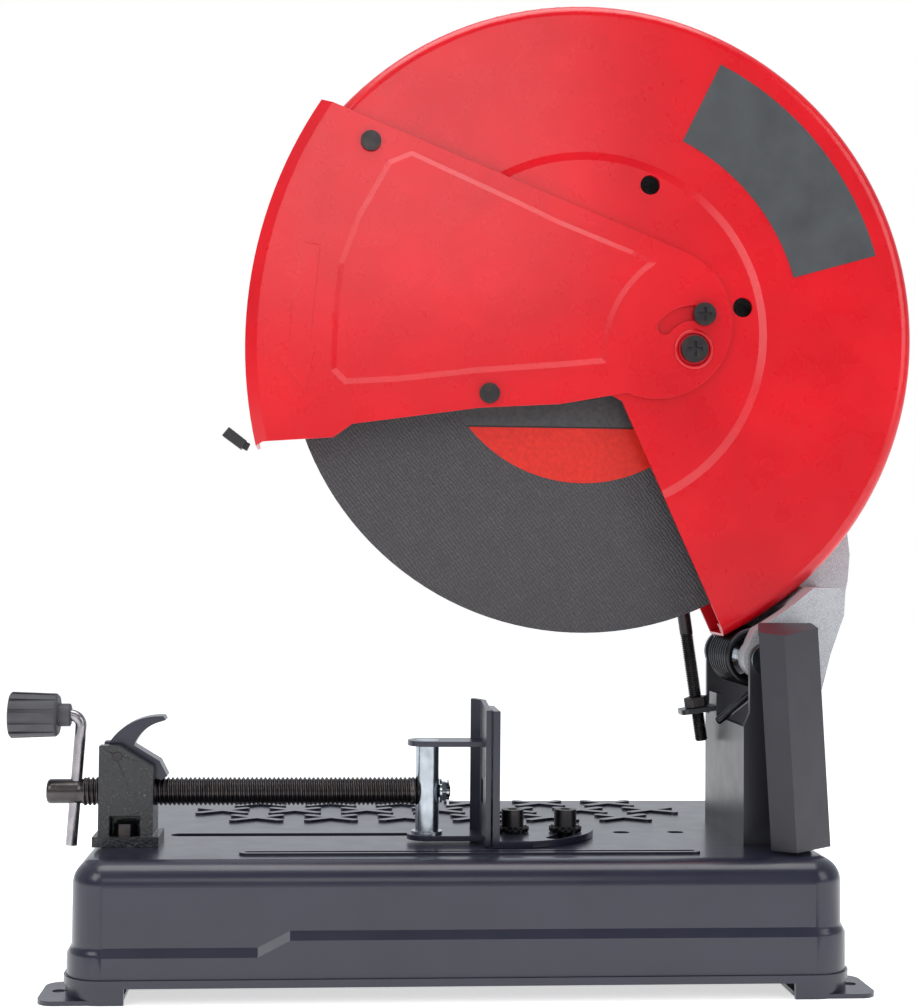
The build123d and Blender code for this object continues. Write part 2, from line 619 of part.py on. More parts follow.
with BuildPart() as handle_near:
    handle_half(1)
pieces["handle_near"] = handle_near

with BuildPart() as handle_far:
    handle_half(-1)
pieces["handle_far"] = handle_far

with BuildPart() as trigger:
    with BuildSketch(handle_plane.offset(-8)) as trigger_outline:
        with BuildLine():
            Polyline((-20, 29), (20, 29), (20, 12), (8, 9), (-8, 9), (-20, 12), close=True)
        make_face()
    extrude(trigger_outline.sketch, amount=16)
pieces["trigger"] = trigger

with BuildPart() as handle_screws:
    for x, z in ((-64, 30), (64, 30), (-64, -30), (40, -62)):
        with BuildSketch(handle_plane.offset(HANDLE_HALF)) as screw_head:
            with Locations((x, z)):
                Circle(4)
        extrude(screw_head.sketch, amount=1.6)
pieces["handle_screws"] = handle_screws

with BuildPart() as cord_gland:
    gland_plane = Plane(
        origin=(35 + 75 * cos(radians(HANDLE_TILT)), HANDLE_MID, 505 + 75 * sin(radians(HANDLE_TILT))),
        z_dir=(cos(radians(HANDLE_TILT)), 0, sin(radians(HANDLE_TILT))),
    )
    with BuildSketch(gland_plane) as gland_outline:
        Circle(9)
        Circle(4, mode=Mode.SUBTRACT)
    extrude(gland_outline.sketch, amount=12)
pieces["cord_gland"] = cord_gland

# ---- fixed guard: a deep steel pan, cut away over the work ----
APEX = (97.0, 331.0)
STOP_SCREW = polar(SWING_X, SWING_Z, SLOT_RADIUS, STOP_SCREW_ANGLE)
TIP = polar(DISC_X, DISC_Z, GUARD_RADIUS + 30, -65.0)
UPPER_CUT = (-140.0, 496.0)


def guard_opening(near, far):
    """Cut away the sector of the guard that the work passes through."""
    slab([APEX, TIP, (100, 100), (-180, 100), UPPER_CUT, (60, 352)], near, far, Mode.SUBTRACT)


with BuildPart() as fixed_guard:
    rod(DISC_X, DISC_Z, GUARD_RADIUS, GUARD_FRONT, GUARD_BACK - 2)
    fillet(fixed_guard.faces().sort_by(Axis.Y)[0].edges(), radius=7)
    with BuildSketch(side(GUARD_FRONT)) as boss:
        with Locations((DISC_X, DISC_Z)):
            Circle(BOSS_RADIUS + 5)
    extrude(boss.sketch, amount=1.2, taper=76.5)
    rod(DISC_X, DISC_Z, GUARD_RADIUS - GUARD_SHEET, GUARD_FRONT + 8, GUARD_BACK + 1, Mode.SUBTRACT)
    rod(DISC_X, DISC_Z, GUARD_RADIUS - 8, GUARD_FRONT + GUARD_SHEET, GUARD_BACK + 1, Mode.SUBTRACT)
    for x, z in ((113, 460), (169, 388)):
        rod(x, z, 5.9, GUARD_FRONT - 3, GUARD_FRONT + 4, Mode.SUBTRACT)
    guard_opening(-60, 0)
    rod(SWING_X, SWING_Z, 4, GUARD_FRONT - 3, GUARD_FRONT + 4, Mode.SUBTRACT)
    rod(*STOP_SCREW, 3, GUARD_FRONT - 3, GUARD_FRONT + 4, Mode.SUBTRACT)
pieces["fixed_guard"] = fixed_guard

with BuildPart() as guard_back_plate:
    rod(DISC_X, DISC_Z, GUARD_RADIUS - 0.2, GUARD_BACK - 2, GUARD_BACK + 0.4)
    rod(DISC_X, DISC_Z, 22, GUARD_BACK - 3, GUARD_BACK + 3, Mode.SUBTRACT)
    guard_opening(-60, 0)
pieces["guard_back_plate"] = guard_back_plate

with BuildPart() as guard_panel:
    with BuildSketch(side(GUARD_FRONT)) as sector:
        with BuildLine():
            inner = CenterArc((DISC_X, DISC_Z), 129, 16, 48)
            outer = CenterArc((DISC_X, DISC_Z), 181, 16, 48)
            Line(inner @ 0, outer @ 0)
            Line(inner @ 1, outer @ 1)
        make_face()
    extrude(sector.sketch, amount=0.4)
pieces["guard_panel"] = guard_panel

SPACER_BACK = GUARD_FRONT + GUARD_SHEET
with BuildPart() as guard_pivot_screw:
    rod(SWING_X, SWING_Z, 4, SWING_FRONT - 2, SPACER_BACK + 6)
    rod(SWING_X, SWING_Z, 8, SWING_FRONT - 4, SWING_FRONT - 0.6)
    rod(SWING_X, SWING_Z, 9, SPACER_BACK, SPACER_BACK + 5)
    for wide, tall in ((4.5, 0.9), (0.9, 4.5)):
        block((SWING_X - wide, SWING_X + wide), (SWING_FRONT - 5, SWING_FRONT - 2.4),
              (SWING_Z - tall, SWING_Z + tall), Mode.SUBTRACT)
pieces["guard_pivot_screw"] = guard_pivot_screw

stop_x, stop_z = STOP_SCREW
with BuildPart() as guard_stop_screw:
    rod(stop_x, stop_z, 3, SWING_FRONT - 2, SPACER_BACK + 5)
    rod(stop_x, stop_z, 6.8, SWING_FRONT - 3.6, SWING_FRONT - 0.6)
    rod(stop_x, stop_z, 6, SPACER_BACK, SPACER_BACK + 4)
    for wide, tall in ((4, 0.8), (0.8, 4)):
        block((stop_x - wide, stop_x + wide), (SWING_FRONT - 5, SWING_FRONT - 2.2),
              (stop_z - tall, stop_z + tall), Mode.SUBTRACT)
pieces["guard_stop_screw"] = guard_stop_screw

# ---- moving guard: a swung sector with a rim wall about its own pivot ----
SWING_CHAMFER = 7.0
RIM_DEPTH = 5.0


swing_slot_path = CenterArc(
    (0, 0), SLOT_RADIUS, STOP_SCREW_ANGLE - 3, SLOT_END_ANGLE - STOP_SCREW_ANGLE + 3
)

with BuildPart() as moving_guard:
    with BuildSketch(Plane(origin=(SWING_X, 0, SWING_Z), x_dir=(1, 0, 0), z_dir=(0, 0, 1))) as rim_profile:
        with BuildLine():
            Polyline(
                (0, SWING_FRONT), (SWING_RADIUS - SWING_CHAMFER, SWING_FRONT),
                (SWING_RADIUS, SWING_FRONT + RIM_DEPTH), (SWING_RADIUS, SWING_BACK),
                (SWING_RADIUS - SWING_SHEET, SWING_BACK),
                (SWING_RADIUS - SWING_SHEET, SWING_FRONT + RIM_DEPTH + 0.6),
                (SWING_RADIUS - SWING_CHAMFER - 0.7, SWING_FRONT + SWING_SHEET),
                (0, SWING_FRONT + SWING_SHEET), close=True,
            )
        make_face()
    revolve(rim_profile.sketch, axis=Axis((SWING_X, 0, SWING_Z), (0, 1, 0)), revolution_arc=360)
    with BuildSketch(side(0)) as cut:
        with BuildLine():
            lobe = CenterArc((116.5, 378), 45.6, -112, 177)
            Polyline(
                lobe @ 1, (-81.5, 506), (-170, 541), (-170, 292), (-121, 300), (-114, 304), (-73, 307),
                (-62, 315), (12, 325.5), (60, 328.5), lobe @ 0,
            )
        make_face()
    extrude(cut.sketch, amount=80, mode=Mode.INTERSECT)
    # raised panel
    with BuildSketch(side(SWING_FRONT)) as panel:
        with BuildLine():
            Polyline((-43, 470), (-29, 476), (35, 448), (59, 437), (103, 420), (117, 413))
            ThreePointArc((117, 413), (93, 385), (87, 353))
            Polyline((87, 353), (59, 350), (12, 346), (-36, 340), (-67, 338), (-75, 346), (-74, 378),
                     (-71, 409), (-61, 437), (-43, 470))
        make_face()
    extrude(panel.sketch, amount=1.7, taper=62)
    # raised arrow
    with BuildSketch(side(SWING_FRONT + 0.4)) as arrow:
        with BuildLine():
            Polyline((-92, 421), (-82, 419), (-87, 363), (-84, 362), (-89, 334), (-109, 359), (-99, 362),
                     (-98, 385), close=True)
        make_face()
    extrude(arrow.sketch, amount=0.9)
    # pivot hole and the curved slot for the stop screw
    rod(SWING_X, SWING_Z, 4 + FIT, SWING_FRONT - 3, SWING_FRONT + 4, Mode.SUBTRACT)
    with BuildSketch(side(SWING_FRONT + 4)) as banana:
        with Locations((SWING_X, SWING_Z)):
            SlotArc(swing_slot_path, 9)
    extrude(banana.sketch, amount=8, mode=Mode.SUBTRACT)
pieces["moving_guard"] = moving_guard

with BuildPart() as guard_rivets:
    for x, z in ((-53, 481), (18, 334)):
        rod(x, z, 6, SWING_FRONT - 2.4, SWING_FRONT)
pieces["guard_rivets"] = guard_rivets

with BuildPart() as guard_tab:
    slab([(-121.5, 303.5), (-123.5, 299.2), (-129, 302), (-127, 306)], -38, -34)
    slab([(-127, 300), (-138, 308), (-134, 313), (-123.5, 305)], -41, -31)
pieces["guard_tab"] = guard_tab

# ---- vise: block, screw, crank, release lever, jaw and fence ----
LEVER_PIN = (-191.7, 124.4)
BLOCK_FOOT = 5.7
with BuildPart() as vise_block:
    slab([(-202, BASE_TOP), (-202, 130.5), (-190.8, 130.5), (-171.5, 118.4), (-171.5, BASE_TOP)],
         BLOCK_NEAR, BLOCK_FAR)
    block((-205, -168), (BLOCK_NEAR - 1.5, BLOCK_FAR + 1.5), (BASE_TOP, BASE_TOP + BLOCK_FOOT))
    bar(VISE_Y, VISE_Z, SCREW_RADIUS + 0.06, -210, -160, Mode.SUBTRACT)
    block((-203, -170), (VISE_Y - 8, VISE_Y + 8), (VISE_Z, 140), Mode.SUBTRACT)
    for y, way in ((BLOCK_NEAR, 1), (BLOCK_FAR, -1)):
        block((-195.5, -178.5), sorted((y - way, y + 11 * way)), (BASE_TOP + BLOCK_FOOT, 91), Mode.SUBTRACT)
    rod(*LEVER_PIN, 2.5, BLOCK_NEAR - 1, BLOCK_FAR + 1, Mode.SUBTRACT)
    for x, y in BLOCK_BOLTS:
        post(x, y, 4.2, BASE_TOP - 1, BASE_TOP + 8, Mode.SUBTRACT)
pieces["vise_block"] = vise_block

with BuildPart() as vise_block_bolts:
    for x, y in BLOCK_BOLTS:
        post(x, y, 4, BASE_TOP - SHEET - 6, BASE_TOP + BLOCK_FOOT)
        hexagon(Plane(origin=(x, y, BASE_TOP + BLOCK_FOOT)), 11, 7)
pieces["vise_block_bolts"] = vise_block_bolts

with BuildPart() as lever_pin:
    rod(*LEVER_PIN, 2.5, BLOCK_NEAR, BLOCK_FAR)
pieces["lever_pin"] = lever_pin

with BuildPart() as release_lever:
    with BuildSketch(side(VISE_Y + 7.5)) as lever_outline:
        with BuildLine():
            Spline((-199, 128.5), (-190, 139.5), (-167, 146.2), tangents=((0.5, 1), (1, -0.05)))
            Polyline((-167, 146.2), (-166, 144), (-168.5, 143.2))
            Spline((-168.5, 143.2), (-178, 138), (-183.5, 129.8), tangents=((-1, -0.25), (-0.4, -1)))
            Polyline((-183.5, 129.8), (-169, 121), (-164.5, 112.5), (-168, 110), (-174, 113), (-187, 116),
                     (-197.5, 120), (-199, 128.5))
        make_face()
    extrude(lever_outline.sketch, amount=15)
    rod(*LEVER_PIN, 2.5 + FIT, VISE_Y - 9, VISE_Y + 9, Mode.SUBTRACT)
    bar(VISE_Y, VISE_Z, SCREW_RADIUS + 0.6, -210, -150, Mode.SUBTRACT)
pieces["release_lever"] = release_lever

SCREW_END = -232.3
NECK_RADIUS = 3.6
ROD_RADIUS = 3.2
CRANK_FOOT = (-218.6, 72.7)
CRANK_BEND_X = -213.8
CRANK_TOP = 146.2
with BuildPart() as crank_rod:
    with BuildLine(side(VISE_Y)) as crank_path:
        FilletPolyline(CRANK_FOOT, (CRANK_BEND_X, CRANK_TOP), (-249.5, CRANK_TOP), radius=6)
    with BuildSketch(Plane(origin=crank_path.line @ 0, z_dir=crank_path.line % 0)) as crank_section:
        Circle(ROD_RADIUS)
    sweep(crank_section.sketch, path=crank_path.line)
pieces["crank_rod"] = crank_rod

with BuildPart(mode=Mode.PRIVATE) as crank_hole:
    with BuildSketch(Plane(origin=crank_path.line @ 0, z_dir=crank_path.line % 0)) as hole_section:
        Circle(ROD_RADIUS)
    extrude(hole_section.sketch, amount=60)
with BuildPart() as vise_screw:
    bar(VISE_Y, VISE_Z, SCREW_RADIUS, SCREW_END, JAW_PIN_X - 6.9)
    chamfer(vise_screw.faces().sort_by(Axis.X)[0].edges(), length=1.5)
    bar(VISE_Y, VISE_Z, NECK_RADIUS, JAW_PIN_X - 8, JAW_PIN_X + 13.2)
    add(crank_hole.part, mode=Mode.SUBTRACT)
pieces["vise_screw"] = vise_screw

with BuildPart() as crank_knob:
    with BuildSketch(Plane(origin=(0, VISE_Y, CRANK_TOP), x_dir=(1, 0, 0), z_dir=(0, -1, 0))) as knob_profile:
        with BuildLine():
            Polyline((-253.2, 0), (-254.6, 6), (-253.8, 12.1), (-252.8, 13.1), (-228, 12.2), (-226.6, 10.8),
                     (-226.6, 6.5), (-220.4, 6.5), (-219.8, 5.5), (-219.8, 0), close=True)
        make_face()
    revolve(knob_profile.sketch, axis=Axis((0, VISE_Y, CRANK_TOP), (1, 0, 0)), revolution_arc=360)
    bar(VISE_Y, CRANK_TOP, ROD_RADIUS + FIT, -249.6, -210, Mode.SUBTRACT)
    with Locations(*[
        Location((-240, VISE_Y + 13.2 * cos(radians(a)), CRANK_TOP + 13.2 * sin(radians(a))), (a, 0, 0))
        for a in range(15, 360, 30)
    ]):
        Box(40, 2.8, 2.2, mode=Mode.SUBTRACT)
pieces["crank_knob"] = crank_knob

JAW_NEAR, JAW_FAR = -82.0, -38.0
EAR_TOP, EAR_BOTTOM = 129.5, 79.0
EAR_RADIUS = 11.6
PIN_RADIUS = 6.8
with BuildPart() as jaw_bracket:
    with BuildSketch(Plane.XY.offset(BASE_TOP + 0.6)) as jaw_plan:
        with BuildLine():
            Polyline((JAW_FACE_X - 3, JAW_NEAR), (JAW_FACE_X, JAW_NEAR), (JAW_FACE_X, -44.5), (11.5, JAW_FAR),
                     (9.4, -40.1), (JAW_FACE_X - 3, -45.7), close=True)
        make_face()
    extrude(jaw_plan.sketch, amount=84)
    with Locations(Location((JAW_FACE_X - 4, -60, 163.3), (5, 0, 0))):
        Box(24, 90, 20, mode=Mode.SUBTRACT)
    for low in (EAR_BOTTOM - 3, EAR_TOP):
        with BuildSketch(Plane.XY.offset(low)) as ear:
            with Locations((JAW_PIN_X, VISE_Y)):
                Circle(EAR_RADIUS)
            with Locations(((JAW_PIN_X + JAW_FACE_X - 3) / 2, VISE_Y)):
                Rectangle(JAW_FACE_X - 3 - JAW_PIN_X, 2 * EAR_RADIUS)
            with Locations((JAW_PIN_X, VISE_Y)):
                Circle(PIN_RADIUS + FIT, mode=Mode.SUBTRACT)
        extrude(ear.sketch, amount=3)
    for y, z in ((-49, 122), (-74, 118)):
        block((JAW_FACE_X - 4, JAW_FACE_X + 1), (y - 1.5, y + 1.5), (z - 5, z + 5), Mode.SUBTRACT)
    block((JAW_FACE_X - 4, JAW_FACE_X + 1), (VISE_Y - 7, VISE_Y + 7), (VISE_Z - 7, VISE_Z + 7), Mode.SUBTRACT)
pieces["jaw_bracket"] = jaw_bracket

with BuildPart() as jaw_pin:
    post(JAW_PIN_X, VISE_Y, PIN_RADIUS, BASE_TOP + 1.2, EAR_TOP + 3)
    post(JAW_PIN_X, VISE_Y, 9, EAR_BOTTOM, EAR_BOTTOM + 1.6)
    bar(VISE_Y, VISE_Z, NECK_RADIUS + FIT, JAW_PIN_X - 10, JAW_PIN_X + 10, Mode.SUBTRACT)
pieces["jaw_pin"] = jaw_pin

with BuildPart() as nut_washer:
    bar(VISE_Y, VISE_Z, 7, JAW_PIN_X + 7, JAW_PIN_X + 8.2)
    bar(VISE_Y, VISE_Z, NECK_RADIUS, JAW_PIN_X, JAW_PIN_X + 12, Mode.SUBTRACT)
pieces["nut_washer"] = nut_washer

nut_start = JAW_PIN_X + 8.2
with BuildPart() as castle_nut:
    hexagon(Plane(origin=(nut_start, VISE_Y, VISE_Z), x_dir=(0, 1, 0), z_dir=(1, 0, 0)), 10.6, 2.6)
    bar(VISE_Y, VISE_Z, 5, nut_start + 2.6, nut_start + 4.4)
    for angle in (30, 90, 150):
        with Locations(Location((nut_start + 4.4, VISE_Y, VISE_Z), (angle, 0, 0))):
            Box(2.8, 16, 1.6, mode=Mode.SUBTRACT)
    bar(VISE_Y, VISE_Z, NECK_RADIUS, nut_start - 1, nut_start + 12, Mode.SUBTRACT)
pieces["castle_nut"] = castle_nut

with BuildPart() as split_pin:
    for heights in ((VISE_Z - 8, VISE_Z - NECK_RADIUS), (VISE_Z + NECK_RADIUS, VISE_Z + 6.5)):
        block((nut_start + 3.2, nut_start + 4.4), (VISE_Y - 0.6, VISE_Y + 0.6), heights)
pieces["split_pin"] = split_pin

FLANGE_TOP = BASE_TOP + 4.0
fence_slot_path = CenterArc((0, 0), FENCE_BOLTS_X[1] - FENCE_BOLTS_X[0], -46, 46.5)
with BuildPart() as fence:
    block((FENCE_FACE_X, FENCE_FACE_X + 4), (FENCE_NEAR, FENCE_FAR), (BASE_TOP + 0.3, 151))
    with BuildSketch(Plane.XY.offset(BASE_TOP + 0.3)) as flange:
        with BuildLine():
            foot_far = Line((FENCE_FACE_X, FENCE_FAR), (83, FENCE_FAR + 6))
            foot_near = Line((FENCE_FACE_X, FENCE_NEAR), (42, FENCE_NEAR + 1))
            ThreePointArc(foot_far @ 1, (69, -65), foot_near @ 1)
            Line((FENCE_FACE_X, FENCE_FAR), (FENCE_FACE_X, FENCE_NEAR))
        make_face()
        with Locations((FENCE_BOLTS_X[0], FENCE_BOLT_Y)):
            Circle(4.1, mode=Mode.SUBTRACT)
        with Locations((FENCE_BOLTS_X[0], FENCE_BOLT_Y)):
            SlotArc(fence_slot_path, 9, mode=Mode.SUBTRACT)
    extrude(flange.sketch, amount=3.7)
pieces["fence"] = fence

with BuildPart() as fence_bolts:
    for x in FENCE_BOLTS_X:
        post(x, FENCE_BOLT_Y, 4, BASE_TOP - SHEET - 8, FLANGE_TOP + 5)
        post(x, FENCE_BOLT_Y, 6.5, FLANGE_TOP + 3.2, FLANGE_TOP + 13.2)
        hexagon(Plane(origin=(x, FENCE_BOLT_Y, FLANGE_TOP + 8)), 6, 7, Mode.SUBTRACT)
pieces["fence_bolts"] = fence_bolts

with BuildPart() as fence_washers:
    for x in FENCE_BOLTS_X:
        post(x, FENCE_BOLT_Y, 9, FLANGE_TOP + 0.9, FLANGE_TOP + 2.4)
        with Locations(*[
            Location((*polar(x, FENCE_BOLT_Y, 8.2, a), FLANGE_TOP + 1.8), (24, 0, a)) for a in range(0, 360, 24)
        ]):
            Box(2.6, 1.5, 2.5)
        post(x, FENCE_BOLT_Y, 4, FLANGE_TOP - 1, FLANGE_TOP + 5, Mode.SUBTRACT)
pieces["fence_washers"] = fence_washers

for label, piece in pieces.items():
    piece.part.label = label
    export_step(piece.part, f"parts/{label}.step")
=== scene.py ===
"""Looks of the abrasive chop saw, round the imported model. Lengths are in metres."""

import json
from math import cos, pi, radians, sin, tau

import bpy
from mathutils import Matrix, Vector


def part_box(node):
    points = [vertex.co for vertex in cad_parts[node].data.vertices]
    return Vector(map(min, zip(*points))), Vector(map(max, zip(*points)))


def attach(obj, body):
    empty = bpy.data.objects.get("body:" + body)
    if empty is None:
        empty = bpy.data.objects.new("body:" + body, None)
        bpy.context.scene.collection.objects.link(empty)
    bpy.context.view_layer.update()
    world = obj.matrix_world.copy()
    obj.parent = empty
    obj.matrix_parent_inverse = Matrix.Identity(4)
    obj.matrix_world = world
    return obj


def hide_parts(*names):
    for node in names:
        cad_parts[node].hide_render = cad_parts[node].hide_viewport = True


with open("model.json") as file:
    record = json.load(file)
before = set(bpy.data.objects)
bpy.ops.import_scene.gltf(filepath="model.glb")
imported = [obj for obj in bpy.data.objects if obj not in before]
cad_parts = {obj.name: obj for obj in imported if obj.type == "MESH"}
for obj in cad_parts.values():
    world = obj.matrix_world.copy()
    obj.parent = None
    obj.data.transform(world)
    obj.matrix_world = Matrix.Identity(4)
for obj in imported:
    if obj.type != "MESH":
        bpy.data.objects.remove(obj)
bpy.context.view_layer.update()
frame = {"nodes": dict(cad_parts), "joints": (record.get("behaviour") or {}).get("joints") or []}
nodes = frame["nodes"]
MM = 0.001


def joint_named(name):
    """The frame's record of a joint."""
    return next(joint for joint in frame["joints"] if joint["name"] == name)


# ---- camera and light ----
CAMERA_PLACE = (-0.075, -1.064, 0.234)
CAMERA_TURN = (radians(4.24), radians(1.99), 0.009)  # to the right, up, and about its own axis
LENS_MM = 62.2
SENSOR_MM = 36
NEAR_CLIP = 0.05
SURROUND_COLOUR = (0.90, 0.94, 1, 1)
SURROUND_STRENGTH = {  # by the direction's Y, from the camera's side to behind the saw
    "From Min": -0.6,
    "From Max": 0.9,
    "To Min": 0.10,
    "To Max": 0.85,
}
SOFTBOXES = {  # place, target, size in metres, power in watts
    "overhead": ((0.0, -0.2, 1.75), (0, 0, 0.3), (1.5, 1.0), 17),
    "key": ((-1.15, -1.25, 1.25), (0, 0, 0.3), (0.8, 1.0), 9),
    "fill": ((1.35, -1.2, 0.9), (0, 0, 0.3), (0.7, 1.1), 6),
    "front": ((-0.05, -2.2, 1.05), (0, 0, 0.45), (0.9, 0.7), 4.5),
}


def place_camera():
    """Camera low in front of the saw and left of its middle, turned slightly right and up."""
    yaw, pitch, roll = CAMERA_TURN
    ahead = Vector((sin(yaw) * cos(pitch), cos(yaw) * cos(pitch), sin(pitch)))
    level = Vector((cos(yaw), -sin(yaw), 0))
    upright = level.cross(ahead)
    right = level * cos(roll) + upright * sin(roll)
    up = upright * cos(roll) - level * sin(roll)
    data = bpy.data.cameras.new("camera")
    data.lens = LENS_MM
    data.sensor_width = SENSOR_MM
    data.clip_start = NEAR_CLIP
    camera = bpy.data.objects.new("camera", data)
    bpy.context.scene.collection.objects.link(camera)
    camera.matrix_world = Matrix.Translation(CAMERA_PLACE) @ Matrix(
        (right, up, -ahead)).transposed().to_4x4()
    bpy.context.scene.camera = camera


def add_softbox(name, place, target, size, power):
    """Rectangular area light at place that faces target."""
    data = bpy.data.lights.new(name, "AREA")
    data.shape = "RECTANGLE"
    data.size, data.size_y = size
    data.energy = power
    light = bpy.data.objects.new(name, data)
    bpy.context.scene.collection.objects.link(light)
    light.location = place
    light.rotation_euler = (Vector(target) - Vector(place)).to_track_quat("-Z", "Y").to_euler()


def make_surround():
    """World that the camera sees as white, and that lights the saw more from behind."""
    world = bpy.data.worlds.new("studio")
    bpy.context.scene.world = world
    world.use_nodes = True
    tree = world.node_tree
    tree.nodes.clear()
    rays = tree.nodes.new("ShaderNodeLightPath")
    seen = tree.nodes.new("ShaderNodeBackground")
    seen.inputs["Color"].default_value = (1, 1, 1, 1)
    seen.inputs["Strength"].default_value = 1.0
    cast = tree.nodes.new("ShaderNodeBackground")
    way = tree.nodes.new("ShaderNodeTexCoord")
    parts = tree.nodes.new("ShaderNodeSeparateXYZ")
    tree.links.new(way.outputs["Generated"], parts.inputs["Vector"])
    behind = tree.nodes.new("ShaderNodeMapRange")
    for name, number in SURROUND_STRENGTH.items():
        behind.inputs[name].default_value = number
    tree.links.new(parts.outputs["Y"], behind.inputs["Value"])
    cast.inputs["Color"].default_value = SURROUND_COLOUR
    tree.links.new(behind.outputs["Result"], cast.inputs["Strength"])
    mix = tree.nodes.new("ShaderNodeMixShader")
    out = tree.nodes.new("ShaderNodeOutputWorld")
    tree.links.new(rays.outputs["Is Camera Ray"], mix.inputs["Fac"])
    tree.links.new(cast.outputs[0], mix.inputs[1])
    tree.links.new(seen.outputs[0], mix.inputs[2])
    tree.links.new(mix.outputs[0], out.inputs["Surface"])


def light_studio():
    """White surround, and soft boxes above, in front and to both sides."""
    make_surround()
    for name, (place, target, size, power) in SOFTBOXES.items():
        add_softbox(name, place, target, size, power)
    bpy.context.scene.view_settings.view_transform = "Standard"


# ---- material tools ----
WAVES_PER_TAU = 20  # ridges that a wave texture node makes along tau of its coordinate


class Surface:
    """A Principled material in object coordinates, with short calls that add detail to it."""

    def __init__(self, name, colour, roughness, metallic=0.0, coat=0.0, coat_roughness=0.1):
        self.material = bpy.data.materials.new(name)
        self.material.use_nodes = True
        self.tree = self.material.node_tree
        self.shader = self.tree.nodes["Principled BSDF"]
        self.shader.inputs["Base Color"].default_value = (*colour, 1)
        self.shader.inputs["Roughness"].default_value = roughness
        self.shader.inputs["Metallic"].default_value = metallic
        self.shader.inputs["Coat Weight"].default_value = coat
        self.shader.inputs["Coat Roughness"].default_value = coat_roughness
        self.object_place = self.add("TexCoord").outputs["Object"]
        self.normal = None

    def add(self, kind, **inputs):
        """New shader node of a kind, with inputs by name given as numbers or as outputs to link."""
        node = self.tree.nodes.new("ShaderNode" + kind)
        for name, value in inputs.items():
            self.put(node.inputs[name], value)
        return node

    def put(self, socket, value):
        """Set a socket to a number, or link it to an output."""
        if isinstance(value, bpy.types.NodeSocket):
            self.tree.links.new(value, socket)
        else:
            socket.default_value = value

    def mapped(self, scale=(1, 1, 1), turn=(0, 0, 0)):
        """Object coordinates, turned by degrees and stretched."""
        node = self.add("Mapping", Vector=self.object_place, Scale=scale)
        node.inputs["Rotation"].default_value = [radians(a) for a in turn]
        return node.outputs["Vector"]

    def noise(self, size, detail=2.0, vector=None):
        """Noise from 0 to 1, with spots of about this size."""
        place = vector or self.object_place
        return self.add("TexNoise", Vector=place, Scale=1 / size, Detail=detail).outputs["Fac"]

    def clouds(self, size, detail, low=0.0, high=1.0):
        """Noise with spots of about this size, spread over low to high."""
        return self.span(self.noise(size, detail), 0.3, 0.7, low, high)

    def cells(self, size):
        """Distance to the nearest of scattered points about this far apart."""
        return self.add("TexVoronoi", Vector=self.object_place, Scale=1 / size).outputs["Distance"]

    def waves(self, spacing, vector, distortion=0.0):
        """Parallel ridges this far apart along the vector's X."""
        scale = tau / (WAVES_PER_TAU * spacing)
        node = self.add("TexWave", Vector=vector, Scale=scale, Distortion=distortion)
        node.inputs["Detail Scale"].default_value = 2.0
        return node.outputs["Fac"]

    def span(self, value, start, end, low=0.0, high=1.0):
        """Value from start to end, brought to low to high."""
        node = self.add("MapRange", Value=value)
        limits = {"From Min": start, "From Max": end, "To Min": low, "To Max": high}
        for name, number in limits.items():
            node.inputs[name].default_value = number
        return node.outputs["Result"]

    def math(self, operation, a, b=0.0):
        """Result of a math node on two values."""
        node = self.add("Math")
        node.operation = operation
        self.put(node.inputs[0], a)
        self.put(node.inputs[1], b)
        return node.outputs[0]

    def mixed(self, share, a, b):
        """Colour a, with a share of colour b."""
        node = self.add("Mix")
        node.data_type = "RGBA"
        self.put(node.inputs["Factor"], share)
        for index, colour in ((6, a), (7, b)):  # the node's colour inputs, after its number and vector ones
            linked = isinstance(colour, bpy.types.NodeSocket)
            self.put(node.inputs[index], colour if linked else (*colour, 1))
        return node.outputs[2]

    def coloured(self, colour):
        """Use this colour output."""
        self.put(self.shader.inputs["Base Color"], colour)

    def roughened(self, roughness):
        """Use this roughness output."""
        self.put(self.shader.inputs["Roughness"], roughness)

    def bumped(self, height, depth):
        """Raise the surface by a height output, up to this depth, on top of earlier bumps."""
        node = self.add("Bump", Height=height, Distance=depth)
        if self.normal:
            self.put(node.inputs["Normal"], self.normal)
        self.normal = node.outputs["Normal"]
        self.put(self.shader.inputs["Normal"], self.normal)


# ---- materials ----
def make_paint(name, colour, roughness, coat, peel, dust=0.0):
    """Sprayed paint: orange peel, uneven gloss, slightly uneven colour and a few dust nibs."""
    paint = Surface(name, colour, roughness, coat=coat, coat_roughness=roughness * 0.5)
    deep = [c * 0.86 for c in colour]
    bright = [min(c * 1.08 + 0.002, 1) for c in colour]
    tone = paint.mixed(paint.clouds(60 * MM, 4), deep, bright)
    if dust:
        specks = paint.span(paint.cells(2.4 * MM), 0.07, 0.03)
        sparse = paint.span(paint.noise(9 * MM), 0.56, 0.62)
        share = paint.math("MULTIPLY", specks, paint.math("MULTIPLY", sparse, dust))
        tone = paint.mixed(share, tone, [c + 0.25 for c in colour])
    paint.coloured(tone)
    paint.roughened(paint.clouds(14 * MM, 4, roughness * 0.93, roughness * 1.08))
    paint.bumped(paint.noise(1.6 * MM, 2), peel)
    return paint.material


def make_silver_paint():
    """Silver paint with a coarse metallic speckle on a cast surface."""
    paint = Surface("silver_paint", (0.5, 0.5, 0.52), 0.42, metallic=0.45)
    flakes = paint.span(paint.cells(0.9 * MM), 0.2, 0.6)
    clouds = paint.span(paint.noise(5 * MM, 4), 0.35, 0.65)
    tone = paint.mixed(flakes, (0.60, 0.61, 0.64), (0.40, 0.40, 0.43))
    paint.coloured(paint.mixed(paint.math("MULTIPLY", clouds, 0.5), tone, (0.52, 0.53, 0.56)))
    paint.roughened(paint.span(flakes, 0, 1, 0.32, 0.55))
    paint.bumped(paint.noise(1.1 * MM, 4), 0.12 * MM)
    return paint.material


